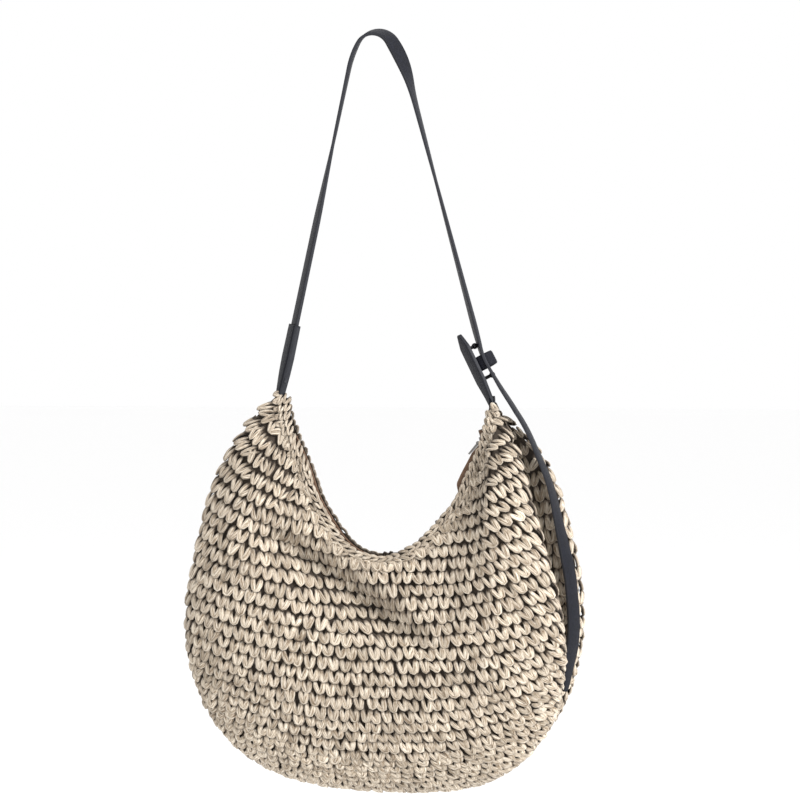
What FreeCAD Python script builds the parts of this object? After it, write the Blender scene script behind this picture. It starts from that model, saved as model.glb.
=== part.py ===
"""Crocheted hobo bag hanging from its leather shoulder strap.

Row frame, millimetres: +X to the wearer's right as seen from the front, +Y
from the front panel to the back panel, +Z up.  The origin is the centre of
the round underside of the strap's arch, where a hook or rail carries the bag.
The bag's crescent body is described in polar sections about the mouth's
centre, so every crocheted panel, rim and lining is a loft of those sections.
"""
import FreeCAD, Part
import math
import os

# ---- Driving dimensions --------------------------------------------------
CLEARANCE = 0.3               # between pieces that move past each other
OVERLAP = 0.1                 # by which parts of one solid run into each other
FAR = 400.0                   # longer than anything that is trimmed

# Shoulder strap: one leather strip, bent round whatever carries the bag
STRAP_WIDTH = 20.0
STRAP_THICK = 3.2
ARCH_RADIUS = 18.0            # inner radius of the strap's arch: the hanging seat
ARCH_LEFT = 62.0              # degrees of arch each side of its top
ARCH_RIGHT = 58.0
LEFT_EASE_RADIUS = 100.0      # gentle bends between arch and legs
RIGHT_EASE_RADIUS = 156.0
LEFT_LEG_LEAN = 12.2          # degrees from upright
RIGHT_LEG_LEAN = 15.0
LEFT_LEG_END_Z = -328.0       # inside the left sleeve
KEEPER_BEND_Z = -296.0        # the right leg turns outwards here
KEEPER_BEND_RADIUS = 60.0
LOWER_LEAN = 30.5             # lean of the strap beside the right horn
STRAP_HOLE_RADIUS = 3.5       # adjusting hole that the lower stud passes through

# Horns: the bag swings about the line through both of them
HORN_AXIS_Z = -349.0
SWING_RADIUS = 11.0           # nothing of the bag stands higher than this above that line
LEFT_HORN_X = -96.0
RIGHT_HORN_X = 118.0
STRAP_BEND_X = 134.5          # the strap passes the right horn here

# Free end of the strap
TAIL_START = (141.8, -359.0)
TAIL_LENGTHS = (34.0, 62.0, 88.0, 63.0)
TAIL_LEANS = (34.2, 23.2, 12.3, 5.0, -9.0)
TAIL_TURN_RADIUS = 170.0
TAIL_TIP_LENGTH = 42.0
TAIL_TIP_WIDTH = 7.0
TAIL_TIP_BEYOND = 5.0         # the tip's slant runs out this far below it

# Left sleeve and the anchors inside the horns
SLEEVE_TOP_Z = -273.0
SLEEVE_THICK = 8.0
SLEEVE_WIDTH = 25.0
SLEEVE_FOOT_WIDTH = 15.0
SLEEVE_SHOULDER = 0.4         # share of the sleeve's length where it is full width
SLEEVE_POCKET = (3.8, 20.8, 60.0)
ANCHOR_KNUCKLE = 5.5
ANCHOR_KNUCKLE_THICK = 5.0
ANCHOR_LEG = (4.0, 8.0)
LEFT_ANCHOR_END = (155.0, 123.0)
RIGHT_ANCHOR_END = (382.0, 119.0)

# Right adjuster tab with its ball studs and keeper loop
TAB_FOOT = (112.5, -337.0)    # where the tab leaves the horn
TAB_TIP = (84.5, -283.0)
TAB_TWIST = 20.0              # the tab is turned this far about its length
TAB_PLY = 1.8
TAB_FOOT_WIDTH = 14.0
TAB_FLARE = 12.0              # length over which the foot widens
TAB_POINT = 14.0              # length over which the tip narrows
TAB_ROUND = (3.0, 3.5)        # length and half width of the rounded tip
LOWER_STUD_AT = 10.5          # along the tab from its foot
UPPER_STUD_AT = 44.0
STUD_BALL_RADIUS = 3.1
LOWER_BALL_HEIGHT = 11.8      # centre of the ball above the tab's middle
UPPER_BALL_HEIGHT = 9.1
STUD_NECK_RADIUS = 1.8
STUD_BASE_RADIUS = 4.5
STUD_BASE_THICK = 0.9
STUD_SEAT_GAP = 0.05
KEEPER_START = 18.5
KEEPER_LENGTH = 15.0
KEEPER_WALL = 2.0
KEEPER_INNER = (24.6, 20.0)   # across the strap, and away from the tab
KEEPER_SHIFT = 4.0
KEEPER_CORNER = 6.0

# Crocheted body
MOUTH_X = 12.0                # centre of the U-shaped mouth
MOUTH_Z = -411.0
WALL = 4.5                    # crocheted wall
HORN_WALL = 2.5
RIM_WIDTH = 12.0              # edging band along the mouth
RIM_SHARE = 0.35              # of a narrow horn, the band takes no more than this
RIM_HALF_DEPTH = 16.0
RIM_GAP = 0.8                 # between the edging band and the panel
LINING_THICK = 0.8
LINING_GAP = 1.5              # between the crocheted wall and the lining
LINING_START = 104.5          # the lining hangs from below the zip

# Zip: it follows a circle about the mouth's centre, angles in degrees
ZIP_RADIUS = 100.0
ZIP_LEFT = 166.0
ZIP_RIGHT = 378.0
TAPE_BEYOND = 2.0             # the tape runs on past the coil
TAPE_EDGE = 10.8
TAPE_THICK = 0.8
COIL_INNER = 0.6
COIL_OUTER = 3.0
COIL_THICK = 2.6
STOP_GAP = 0.2
STOP_LENGTH = 1.6
STOP_PROUD = 0.3              # how far a stop stands above the coil
SLIDER_ANGLE = 372.5          # slider at the closed end
SLIDER_HALF_ANGLE = 3.2
PLATE_HALF_WIDTH = 4.8
TOP_PLATE = (96.6, 98.35)
BOTTOM_PLATE = (101.65, 103.1)
FLANGE_INNER = 3.4
FLANGE_GAP = 0.35             # flange to tape
DIVIDER_HALF = 0.3
DIVIDER_LENGTH = 2.2
BAIL_HALF = 1.2
BAIL_RADIUS = 2.0
BAIL_FOOT_HALF = 1.0
PULL_PIVOT_RADIUS = 94.0
PULL_PIN_RADIUS = 0.8
PULL_RUNNING_GAP = 0.08
PULL_REST_ANGLE = 230.7       # direction in which the pull hangs
PULL_LENGTH = 14.0
PULL_WIDTH = 9.0
PULL_BAR = 1.6
PULL_ARM = 1.3
PULL_CROSSBAR = 2.2

# angle, rim radius, outer radius, half depth, side fold: the crescent's sections
SECTIONS = [
    (148, 119, 133, 8, 1),
    (158, 105, 141, 13, 3),
    (170, 89, 152, 26, 7),
    (185, 78, 172, 36, 12),
    (205, 76, 211, 44, 14),
    (225, 79, 279, 50, 10),
    (245, 89, 324, 53, 2),
    (270, 93, 325, 54, 0),
    (295, 84, 324, 53, 5),
    (315, 78, 263.5, 50, 23),
    (335, 79, 193.3, 44, 25),
    (355, 84, 159, 36, 22),
    (370, 96, 143, 26, 13),
    (380, 106, 134, 15, 4),
    (388, 116, 128, 8, 1),
]
LINED = slice(3, 12)          # sections that the lining covers: it leaves both horns free

Y_AXIS = FreeCAD.Vector(0, 1, 0)


def vec(x, y, z):
    return FreeCAD.Vector(x, y, z)


def export(name, shape):
    """Write one node and stop if any of its solids isn't sound."""
    solids = shape.Solids
    if not solids or not all(solid.isValid() for solid in solids):
        raise ValueError("unsound solid in " + name)
    shape.exportStep("parts/" + name + ".step")


# ---- Polar frame about the mouth ------------------------------------------
def polar(angle, radius, y=0.0):
    turn = math.radians(angle)
    x = MOUTH_X + radius * math.cos(turn)
    z = MOUTH_Z + radius * math.sin(turn)
    return vec(x, y, z)


def ring_piece(start, end, inner, outer, y_low, y_high):
    """A bar of rectangular section that follows a circle about the mouth."""
    corners = [(inner, y_low), (outer, y_low), (outer, y_high), (inner, y_high)]
    points = [polar(start, radius, y) for radius, y in corners]
    face = Part.Face(Part.makePolygon(points + points[:1]))
    return face.revolve(polar(0, 0), Y_AXIS, start - end)


# ---- Crocheted panels, rims and lining ------------------------------------
def wall_at(angle):
    """The wall thins towards both horns."""
    if angle in (SECTIONS[0][0], SECTIONS[-1][0]):
        return HORN_WALL
    if angle in (SECTIONS[1][0], SECTIONS[-2][0]):
        return (HORN_WALL + WALL) / 2
    return WALL


def rim_width_at(rim, outer):
    return min(RIM_WIDTH, RIM_SHARE * (outer - rim))


def skin_points(section, inset, start_radius):
    """Half a section's outline, from the rim round to the side fold."""
    angle, rim, outer, depth, fold = section
    edge = outer - inset
    full = depth - inset
    lip = min(RIM_HALF_DEPTH, depth) - inset
    span = edge - start_radius
    return [
        (start_radius, lip),
        (start_radius + 0.30 * span, lip + 0.75 * (full - lip)),
        (start_radius + 0.60 * span, full),
        (edge - 0.08 * span, 0.75 * full),
        (edge, 0.5 * depth),
        (edge - fold, CLEARANCE / 2),
    ]


def spline_edge(angle, points, side):
    curve = Part.BSplineCurve()
    curve.interpolate([polar(angle, radius, side * y) for radius, y in points])
    return curve.toShape()


def skin_wire(section, side, start_radius, inset, thick):
    """Closed wire between two nested half outlines of one section."""
    angle = section[0]
    outside = skin_points(section, inset, start_radius)
    inside = skin_points(section, inset + thick, start_radius)
    outer_edge = spline_edge(angle, outside, side)
    inner_edge = spline_edge(angle, inside[::-1], side)
    fold_edge = Part.makeLine(polar(angle, outside[-1][0], side * outside[-1][1]),
                              polar(angle, inside[-1][0], side * inside[-1][1]))
    rim_edge = Part.makeLine(polar(angle, inside[0][0], side * inside[0][1]),
                             polar(angle, outside[0][0], side * outside[0][1]))
    return Part.Wire([outer_edge, fold_edge, inner_edge, rim_edge])


def panel(side):
    wires = []
    for section in SECTIONS:
        angle, rim, outer = section[:3]
        start = rim + rim_width_at(rim, outer) + RIM_GAP
        wires.append(skin_wire(section, side, start, 0.0, wall_at(angle)))
    return Part.makeLoft(wires, True, False)


def rim_band(side):
    wires = []
    for section in SECTIONS:
        angle, rim, outer, depth, _ = section
        high = min(RIM_HALF_DEPTH, depth)
        low = high - wall_at(angle)
        end = rim + rim_width_at(rim, outer)
        corners = [(rim, high), (end, high), (end, low), (rim, low)]
        points = [polar(angle, radius, side * y) for radius, y in corners]
        wires.append(Part.makePolygon(points + points[:1]))
    return Part.makeLoft(wires, True, False)


def lining(side):
    wires = []
    for section in SECTIONS[LINED]:
        start = max(section[1] + RIM_WIDTH + 1.0, LINING_START)
        wires.append(skin_wire(section, side, start, WALL + LINING_GAP, LINING_THICK))
    return Part.makeLoft(wires, True, False)


# ---- Flat leather bands ----------------------------------------------------
class Path:
    """A path of tangent lines and arcs in the XZ plane, walked like a turtle."""

    def __init__(self, x, z, heading):
        self.x = x
        self.z = z
        self.heading = heading
        self.pieces = []

    def line(self, length):
        turn = math.radians(self.heading)
        self.pieces.append(("line", self.x, self.z, self.heading, length, 0.0))
        self.x += length * math.cos(turn)
        self.z += length * math.sin(turn)
        return self

    def arc(self, radius, turn):
        """Turn by so many degrees, positive to the left, on the given radius."""
        self.pieces.append(("arc", self.x, self.z, self.heading, radius, turn))
        hand = math.copysign(1.0, turn)
        out = math.radians(self.heading + 90.0 * hand)
        centre_x = self.x + radius * math.cos(out)
        centre_z = self.z + radius * math.sin(out)
        self.heading += turn
        out = math.radians(self.heading + 90.0 * hand)
        self.x = centre_x - radius * math.cos(out)
        self.z = centre_z - radius * math.sin(out)
        return self

    @staticmethod
    def offset_edge(piece, offset, y):
        """One piece's edge, moved to the left by offset."""
        kind, x, z, heading, size, turn = piece
        left = math.radians(heading + 90.0)
        start = vec(x + offset * math.cos(left), y, z + offset * math.sin(left))
        if kind == "line":
            ahead = math.radians(heading)
            return Part.makeLine(start, start + vec(math.cos(ahead), 0, math.sin(ahead)) * size)
        hand = math.copysign(1.0, turn)
        out = math.radians(heading + 90.0 * hand)
        centre = vec(x + size * math.cos(out), y, z + size * math.sin(out))
        points = [start]
        for share in (0.5, 1.0):
            spoke = FreeCAD.Rotation(Y_AXIS, -turn * share).multVec(start - centre)
            points.append(centre + spoke)
        return Part.Arc(*points).toShape()

    def band(self, thick, width):
        """A strip of leather along the path, its width along Y."""
        y = -width / 2
        left = [self.offset_edge(piece, thick / 2, y) for piece in self.pieces]
        right = [self.offset_edge(piece, -thick / 2, y) for piece in self.pieces]
        start_cap = Part.makeLine(left[0].Vertexes[0].Point, right[0].Vertexes[0].Point)
        end_cap = Part.makeLine(left[-1].Vertexes[-1].Point, right[-1].Vertexes[-1].Point)
        wire = Part.Wire(Part.__sortEdges__(left + [end_cap] + right[::-1] + [start_cap]))
        return Part.Face(wire).extrude(vec(0, width, 0))


def arch_half(side, arch, ease_radius, lean):
    """From the top of the arch down to the straight part of one leg."""
    middle = ARCH_RADIUS + STRAP_THICK / 2
    heading = 0.0 if side > 0 else 180.0
    path = Path(0.0, middle, heading)
    path.arc(middle, -side * arch)
    path.arc(ease_radius, -side * (90.0 - lean - arch))
    return path


def run_down(path, lean, to_z):
    path.line((path.z - to_z) / math.cos(math.radians(lean)))
    return path


def block_below(height):
    """Everything under a height, for trimming."""
    block = Part.makeBox(FAR, FAR, FAR)
    block.translate(vec(-FAR / 2, -FAR / 2, height - FAR))
    return block


def shoulder_strap(stud_axis_start, stud_axis):
    left = run_down(arch_half(-1, ARCH_LEFT, LEFT_EASE_RADIUS, LEFT_LEG_LEAN),
                    LEFT_LEG_LEAN, LEFT_LEG_END_Z)
    right = run_down(arch_half(1, ARCH_RIGHT, RIGHT_EASE_RADIUS, RIGHT_LEG_LEAN),
                     RIGHT_LEG_LEAN, KEEPER_BEND_Z)
    right.arc(KEEPER_BEND_RADIUS, LOWER_LEAN - RIGHT_LEG_LEAN)
    run_down(right, LOWER_LEAN, HORN_AXIS_Z)
    strap = left.band(STRAP_THICK, STRAP_WIDTH).fuse(right.band(STRAP_THICK, STRAP_WIDTH))
    below_swing = block_below(HORN_AXIS_Z + SWING_RADIUS + CLEARANCE)
    stud_hole = Part.makeCylinder(STRAP_HOLE_RADIUS, STRAP_WIDTH, stud_axis_start, stud_axis)
    return strap.cut(below_swing).cut(stud_hole).removeSplitter()


def left_leg_x(z):
    """Where the left leg's middle line is at a given height."""
    path = arch_half(-1, ARCH_LEFT, LEFT_EASE_RADIUS, LEFT_LEG_LEAN)
    return path.x - (path.z - z) * math.tan(math.radians(LEFT_LEG_LEAN))


def strap_bend():
    """Round stretch of the strap that lies beside the right horn."""
    normal_turn = math.radians(LOWER_LEAN)
    normal = vec(math.cos(normal_turn), 0, math.sin(normal_turn))
    centre = vec(STRAP_BEND_X, 0, HORN_AXIS_Z) - normal * (STRAP_THICK / 2)
    return Part.makeCylinder(STRAP_WIDTH / 2, STRAP_THICK, centre, normal)


def strap_tail():
    """Free end of the strap, curving down over the side of the bag."""
    path = Path(TAIL_START[0], TAIL_START[1], TAIL_LEANS[0] - 90.0)
    for length, lean, next_lean in zip(TAIL_LENGTHS, TAIL_LEANS, TAIL_LEANS[1:]):
        path.line(length - TAIL_TURN_RADIUS * math.radians(lean - next_lean))
        path.arc(TAIL_TURN_RADIUS, next_lean - lean)
    path.line(TAIL_TIP_LENGTH)
    half = STRAP_WIDTH / 2
    corner = vec(TAIL_START[0], -half, TAIL_START[1])
    rounded_end = Part.makeCylinder(STRAP_THICK / 2, STRAP_WIDTH, corner, Y_AXIS)
    tail = path.band(STRAP_THICK, STRAP_WIDTH).fuse(rounded_end).removeSplitter()
    tip_z = path.z + TAIL_TIP_LENGTH
    below_z = path.z - TAIL_TIP_BEYOND
    for side in (-1, 1):
        outline = [vec(0, side * half, tip_z), vec(0, side * STRAP_WIDTH, tip_z),
                   vec(0, side * STRAP_WIDTH, below_z), vec(0, side * TAIL_TIP_WIDTH / 2, below_z)]
        slant = Part.Face(Part.makePolygon(outline + outline[:1])).extrude(vec(FAR, 0, 0))
        tail = tail.cut(slant)
    return tail


# ---- Left sleeve and the anchors in the horns ------------------------------


def left_sleeve():
    """Folded leather sleeve that grips the strap's left end."""
    foot_z = HORN_AXIS_Z + SWING_RADIUS + 2 * CLEARANCE
    lean = math.radians(LEFT_LEG_LEAN)
    length = (SLEEVE_TOP_Z - foot_z) / math.cos(lean)
    half = SLEEVE_WIDTH / 2
    foot = SLEEVE_FOOT_WIDTH / 2
    shoulder = SLEEVE_SHOULDER * length
    outline = [vec(0, -foot, 0), vec(0, foot, 0), vec(0, half, shoulder), vec(0, half, length),
               vec(0, -half, length), vec(0, -half, shoulder)]
    sleeve = Part.Face(Part.makePolygon(outline + outline[:1])).extrude(vec(SLEEVE_THICK, 0, 0))
    sleeve.translate(vec(-SLEEVE_THICK / 2, 0, 0))
    pocket_thick, pocket_width, pocket_depth = SLEEVE_POCKET
    pocket = Part.makeBox(pocket_thick, pocket_width, length)
    pocket.translate(vec(-pocket_thick / 2, -pocket_width / 2, length - pocket_depth))
    sleeve = sleeve.cut(pocket)
    sleeve.rotate(vec(0, 0, 0), Y_AXIS, LEFT_LEG_LEAN)
    sleeve.translate(vec(left_leg_x(foot_z), 0, foot_z))
    return sleeve.cut(block_below(foot_z - CLEARANCE))


def anchor(horn_x, end_angle, end_radius):
    """Folded end of a leather tab, sewn in between the walls of one horn."""
    centre = vec(horn_x, 0, HORN_AXIS_Z)
    ahead = polar(end_angle, end_radius) - centre
    knuckle = Part.makeCylinder(ANCHOR_KNUCKLE, ANCHOR_KNUCKLE_THICK,
                                centre - vec(ANCHOR_KNUCKLE_THICK / 2, 0, 0), vec(1, 0, 0))
    leg_thick, leg_width = ANCHOR_LEG
    leg = Part.makeBox(leg_thick, leg_width, ahead.Length)
    leg.translate(vec(-leg_thick / 2, -leg_width / 2, 0))
    leg.Placement = FreeCAD.Placement(centre, FreeCAD.Rotation(vec(0, 0, 1), ahead)) * leg.Placement
    return knuckle.fuse(leg).removeSplitter()


# ---- Right adjuster tab, studs and keeper ----------------------------------
def tab_placement():
    """Local X runs up the tab, local Z is the side that carries the studs."""
    foot = vec(TAB_FOOT[0], 0, TAB_FOOT[1])
    along = vec(TAB_TIP[0] - TAB_FOOT[0], 0, TAB_TIP[1] - TAB_FOOT[1]).normalize()
    flat_normal = Y_AXIS.cross(along)
    twist = math.radians(TAB_TWIST)
    turned = flat_normal * math.cos(twist) + Y_AXIS * math.sin(twist)
    rotation = FreeCAD.Rotation(along, turned.cross(along), turned, "XZY")
    return FreeCAD.Placement(foot, rotation)


def tab_length():
    return math.hypot(TAB_TIP[0] - TAB_FOOT[0], TAB_TIP[1] - TAB_FOOT[1])


def tab_outline(height):
    """Outline of the tab: narrow foot, parallel sides, pointed and rounded tip."""
    length = tab_length()
    half = STRAP_WIDTH / 2
    foot = TAB_FOOT_WIDTH / 2
    round_length, round_half = TAB_ROUND
    side = [vec(0, foot, height), vec(TAB_FLARE, half, height),
            vec(length - TAB_POINT, half, height), vec(length - round_length, round_half, height)]
    other_side = [vec(point.x, -point.y, height) for point in side]
    corners = side[::-1] + other_side
    edges = [Part.makeLine(start, end) for start, end in zip(corners, corners[1:])]
    edges.append(Part.Arc(other_side[-1], vec(length, 0, height), side[-1]).toShape())
    return Part.Face(Part.Wire(edges))


def stud_sites():
    return [vec(LOWER_STUD_AT, 0, 0), vec(UPPER_STUD_AT, 0, 0)]


def tab_stud_ply():
    """Ply on the studs' side: each neck passes through it."""
    ply = tab_outline(0.0).extrude(vec(0, 0, TAB_PLY))
    for site in stud_sites():
        ply = ply.cut(Part.makeCylinder(STUD_NECK_RADIUS + STUD_SEAT_GAP, TAB_PLY, site))
    return ply


def tab_face_ply():
    """Outer ply: it covers the studs' base plates, which lie in recesses."""
    ply = tab_outline(-TAB_PLY).extrude(vec(0, 0, TAB_PLY))
    depth = STUD_BASE_THICK + STUD_SEAT_GAP
    for site in stud_sites():
        recess = Part.makeCylinder(STUD_BASE_RADIUS + STUD_SEAT_GAP, depth, site - vec(0, 0, depth))
        ply = ply.cut(recess)
    return ply


def stud(site, ball_height):
    """Ball stud: base plate, neck and round head in one turned piece."""
    base = Part.makeCylinder(STUD_BASE_RADIUS, STUD_BASE_THICK, site - vec(0, 0, STUD_BASE_THICK))
    neck = Part.makeCylinder(STUD_NECK_RADIUS, ball_height, site)
    ball = Part.makeSphere(STUD_BALL_RADIUS, site + vec(0, 0, ball_height))
    return base.fuse(neck).fuse(ball).removeSplitter()


def keeper_loop():
    """Leather loop sewn to the tab: the strap runs through it."""
    width, height = KEEPER_INNER
    outer = Part.makeBox(KEEPER_LENGTH, width + 2 * KEEPER_WALL, height + 2 * KEEPER_WALL)
    outer.translate(vec(0, -width / 2 - KEEPER_WALL, 0))
    inner = Part.makeBox(KEEPER_LENGTH, width, height)
    inner.translate(vec(0, -width / 2, KEEPER_WALL))

    def rounded(block, radius):
        edges = [edge for edge in block.Edges
                 if abs(edge.Vertexes[0].X - edge.Vertexes[1].X) > 1 and edge.Vertexes[0].Z > height / 2]
        return block.makeFillet(radius, edges)

    loop = rounded(outer, KEEPER_CORNER).cut(rounded(inner, KEEPER_CORNER - KEEPER_WALL))
    loop.translate(vec(KEEPER_START, KEEPER_SHIFT, TAB_PLY))
    return loop


# ---- Zip -------------------------------------------------------------------
def zip_tape(side):
    low, high = sorted((side * COIL_OUTER, side * TAPE_EDGE))
    half = TAPE_THICK / 2
    return ring_piece(ZIP_LEFT - TAPE_BEYOND, ZIP_RIGHT + TAPE_BEYOND,
                      ZIP_RADIUS - half, ZIP_RADIUS + half, low, high)


def zip_coil(side):
    low, high = sorted((side * COIL_INNER, side * COIL_OUTER))
    half = COIL_THICK / 2
    return ring_piece(ZIP_LEFT, ZIP_RIGHT, ZIP_RADIUS - half, ZIP_RADIUS + half, low, high)


def zip_stop(start, end):
    half = COIL_THICK / 2 + STOP_PROUD
    reach = COIL_OUTER - OVERLAP
    return ring_piece(start, end, ZIP_RADIUS - half, ZIP_RADIUS + half, -reach, reach)


def zip_slider():
    """Slider body: two plates, side flanges, the divider and the pull's bail."""
    start = SLIDER_ANGLE - SLIDER_HALF_ANGLE
    end = SLIDER_ANGLE + SLIDER_HALF_ANGLE
    wide = PLATE_HALF_WIDTH
    body = ring_piece(start, end, TOP_PLATE[0], TOP_PLATE[1], -wide, wide)
    body = body.fuse(ring_piece(start, end, BOTTOM_PLATE[0], BOTTOM_PLATE[1], -wide, wide))
    flange_gap = TAPE_THICK / 2 + FLANGE_GAP
    for side in (-1, 1):
        low, high = sorted((side * FLANGE_INNER, side * wide))
        upper = ring_piece(start, end, TOP_PLATE[1] - OVERLAP, ZIP_RADIUS - flange_gap, low, high)
        lower = ring_piece(start, end, ZIP_RADIUS + flange_gap, BOTTOM_PLATE[0] + OVERLAP, low, high)
        body = body.fuse(upper).fuse(lower)
    divider = ring_piece(end - DIVIDER_LENGTH, end, TOP_PLATE[1] - OVERLAP, BOTTOM_PLATE[0] + OVERLAP,
                         -DIVIDER_HALF, DIVIDER_HALF)
    pivot = polar(SLIDER_ANGLE, PULL_PIVOT_RADIUS, -BAIL_HALF)
    eye = Part.makeCylinder(BAIL_RADIUS, 2 * BAIL_HALF, pivot, Y_AXIS)
    foot = ring_piece(SLIDER_ANGLE - BAIL_FOOT_HALF, SLIDER_ANGLE + BAIL_FOOT_HALF,
                      PULL_PIVOT_RADIUS, TOP_PLATE[0] + OVERLAP, -BAIL_HALF, BAIL_HALF)
    hole = Part.makeCylinder(PULL_PIN_RADIUS + PULL_RUNNING_GAP, 2 * BAIL_HALF, pivot, Y_AXIS)
    return body.fuse(divider).fuse(eye).fuse(foot).cut(hole).removeSplitter()


def zip_pull():
    """Open frame that turns on its round bar in the slider's bail."""
    half = PULL_WIDTH / 2
    pull = Part.makeCylinder(PULL_PIN_RADIUS, PULL_WIDTH, vec(0, -half, 0), Y_AXIS)
    for low in (-half, half - PULL_ARM):
        arm = Part.makeBox(PULL_LENGTH, PULL_ARM, PULL_BAR)
        arm.translate(vec(0, low, -PULL_BAR / 2))
        pull = pull.fuse(arm)
    crossbar = Part.makeBox(PULL_CROSSBAR, PULL_WIDTH, PULL_BAR)
    crossbar.translate(vec(PULL_LENGTH - PULL_CROSSBAR, -half, -PULL_BAR / 2))
    pull = pull.fuse(crossbar).removeSplitter()
    pull.rotate(vec(0, 0, 0), Y_AXIS, -PULL_REST_ANGLE)
    pull.translate(polar(SLIDER_ANGLE, PULL_PIVOT_RADIUS))
    return pull


# ---- Make every node --------------------------------------------------------
def main():
    os.makedirs("parts", exist_ok=True)
    sides = {"front": -1, "back": 1}
    for name, side in sides.items():
        export(name + "_panel", panel(side))
        export(name + "_rim", rim_band(side))
        export(name + "_lining", lining(side))
        export("zip_tape_" + name, zip_tape(side))
        export("zip_coil_" + name, zip_coil(side))
    export("zip_stop_left", zip_stop(ZIP_LEFT - STOP_GAP - STOP_LENGTH, ZIP_LEFT - STOP_GAP))
    export("zip_stop_right", zip_stop(ZIP_RIGHT + STOP_GAP, ZIP_RIGHT + STOP_GAP + STOP_LENGTH))
    export("zip_slider", zip_slider())
    export("zip_pull", zip_pull())

    place = tab_placement()

    def placed(shape):
        return shape.transformed(place.toMatrix())

    stud_axis = place.Rotation.multVec(vec(0, 0, 1))
    lower_site = place.multVec(stud_sites()[0])
    export("shoulder_strap", shoulder_strap(lower_site, stud_axis))
    export("strap_bend", strap_bend())
    export("strap_tail", strap_tail())
    export("left_sleeve", left_sleeve())
    export("left_anchor", anchor(LEFT_HORN_X, *LEFT_ANCHOR_END))
    export("right_anchor", anchor(RIGHT_HORN_X, *RIGHT_ANCHOR_END))
    export("tab_stud_ply", placed(tab_stud_ply()))
    export("tab_face_ply", placed(tab_face_ply()))
    export("lower_stud", placed(stud(stud_sites()[0], LOWER_BALL_HEIGHT)))
    export("upper_stud", placed(stud(stud_sites()[1], UPPER_BALL_HEIGHT)))
    export("keeper_loop", placed(keeper_loop()))


main()
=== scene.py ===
"""Looks of a crocheted raffia hobo bag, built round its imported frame."""

import math

import bpy
import numpy as np
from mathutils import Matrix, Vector


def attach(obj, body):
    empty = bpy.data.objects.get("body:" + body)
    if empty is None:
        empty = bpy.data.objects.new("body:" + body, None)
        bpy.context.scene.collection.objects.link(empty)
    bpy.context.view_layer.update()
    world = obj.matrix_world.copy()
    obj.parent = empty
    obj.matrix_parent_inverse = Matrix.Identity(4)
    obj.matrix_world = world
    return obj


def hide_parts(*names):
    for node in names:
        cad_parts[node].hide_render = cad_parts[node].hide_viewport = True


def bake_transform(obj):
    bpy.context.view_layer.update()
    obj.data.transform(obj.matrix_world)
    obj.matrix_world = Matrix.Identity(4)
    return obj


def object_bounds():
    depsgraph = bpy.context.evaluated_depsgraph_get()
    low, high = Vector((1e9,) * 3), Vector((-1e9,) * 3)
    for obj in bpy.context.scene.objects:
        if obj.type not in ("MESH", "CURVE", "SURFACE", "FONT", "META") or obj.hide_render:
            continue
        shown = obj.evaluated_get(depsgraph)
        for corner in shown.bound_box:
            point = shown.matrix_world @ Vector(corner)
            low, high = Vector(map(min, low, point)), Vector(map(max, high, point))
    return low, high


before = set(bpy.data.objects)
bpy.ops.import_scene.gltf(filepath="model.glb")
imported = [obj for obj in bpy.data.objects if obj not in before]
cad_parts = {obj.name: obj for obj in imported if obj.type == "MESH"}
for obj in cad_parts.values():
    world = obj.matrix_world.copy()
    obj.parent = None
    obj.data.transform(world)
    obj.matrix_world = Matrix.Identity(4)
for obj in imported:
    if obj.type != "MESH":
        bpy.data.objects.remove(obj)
FRAME_LOW, FRAME_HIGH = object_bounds()
RNG = np.random.default_rng(7)
MM = 0.001

# ---- Driving dimensions, millimetres ---------------------------------------
MOUTH_X, MOUTH_Z = 12.0, -411.0        # centre of the U-shaped mouth
# angle, rim radius, outer radius, half depth, side fold
SECTIONS = np.array([
    (148, 119, 133, 8, 1), (158, 105, 141, 13, 3), (170, 89, 152, 26, 7), (185, 78, 172, 36, 12),
    (205, 76, 211, 44, 14), (225, 79, 279, 50, 10), (245, 89, 324, 53, 2), (270, 93, 325, 54, 0),
    (295, 84, 324, 53, 5), (315, 78, 263.5, 50, 23), (335, 79, 193.3, 44, 25), (355, 84, 159, 36, 22),
    (370, 96, 143, 26, 13), (380, 106, 134, 15, 4), (388, 116, 128, 8, 1),
], float)
RIM_WIDTH = 12.0
RIM_SHARE = 0.35
RIM_HALF_DEPTH = 16.0
GRID_ANGLES = 300
GRID_DOWN = 90
STITCH_SINK = 1.6                      # stitches' middle lies this far inside the wall's face
# a dark sheet this far inside the wall's face is painted shade: it stands in for the shadow seen between the
# stitches
SHADE_SHEET_SINK = 3.6
LINING_SINK = 6.4
SEAM_HALF_GAP = 0.9                    # each half stops this far from the plane between them
LINING_START = 104.5                   # radius about the mouth where the lining hangs from the zip
LINING_ANGLES = (186.0, 368.0)
LINING_DOWN = 50
BOTTOM_START = 30.0                    # past the widest point by this much, rows close up towards the seam
BOTTOM_CLOSE_START = 40.0              # and after this much more they close up faster
BOTTOM_CLOSING, BOTTOM_CLOSE_CLOSING = 0.25, 0.8

# Crochet rows: flat rings about a point above the mouth
ROW_CENTRE_X, ROW_CENTRE_Z = 25.0, -340.0
ROW_CURVE = 0.40
ROW_PITCH = 12.2
STITCH_PITCH = 11.4
RIM_STITCH_PITCH = 8.0
EDGING_WIDTH = 9.0
LEG_HALF_WIDTH = 2.9
LEG_HALF_THICK = 1.35

# The front half's right edge is drawn in, so the back half shows past the strap's free end
VALLEY_HEIGHTS = (-660.0, -600.0, -548.0, -490.0, -448.0, -428.0, -388.0, -368.0, -345.0)
VALLEY_DEPTHS = (0.0, 5.0, 11.0, 15.0, 17.0, 17.0, 12.0, 8.0, 2.0)

# The back half swells out behind the free end
SWELL_HEIGHTS = (-680.0, -620.0, -560.0, -500.0, -440.0, -400.0, -370.0)
SWELL_WIDTHS = (0.0, 4.0, 8.0, 10.0, 9.0, 6.0, 0.0)

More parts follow.
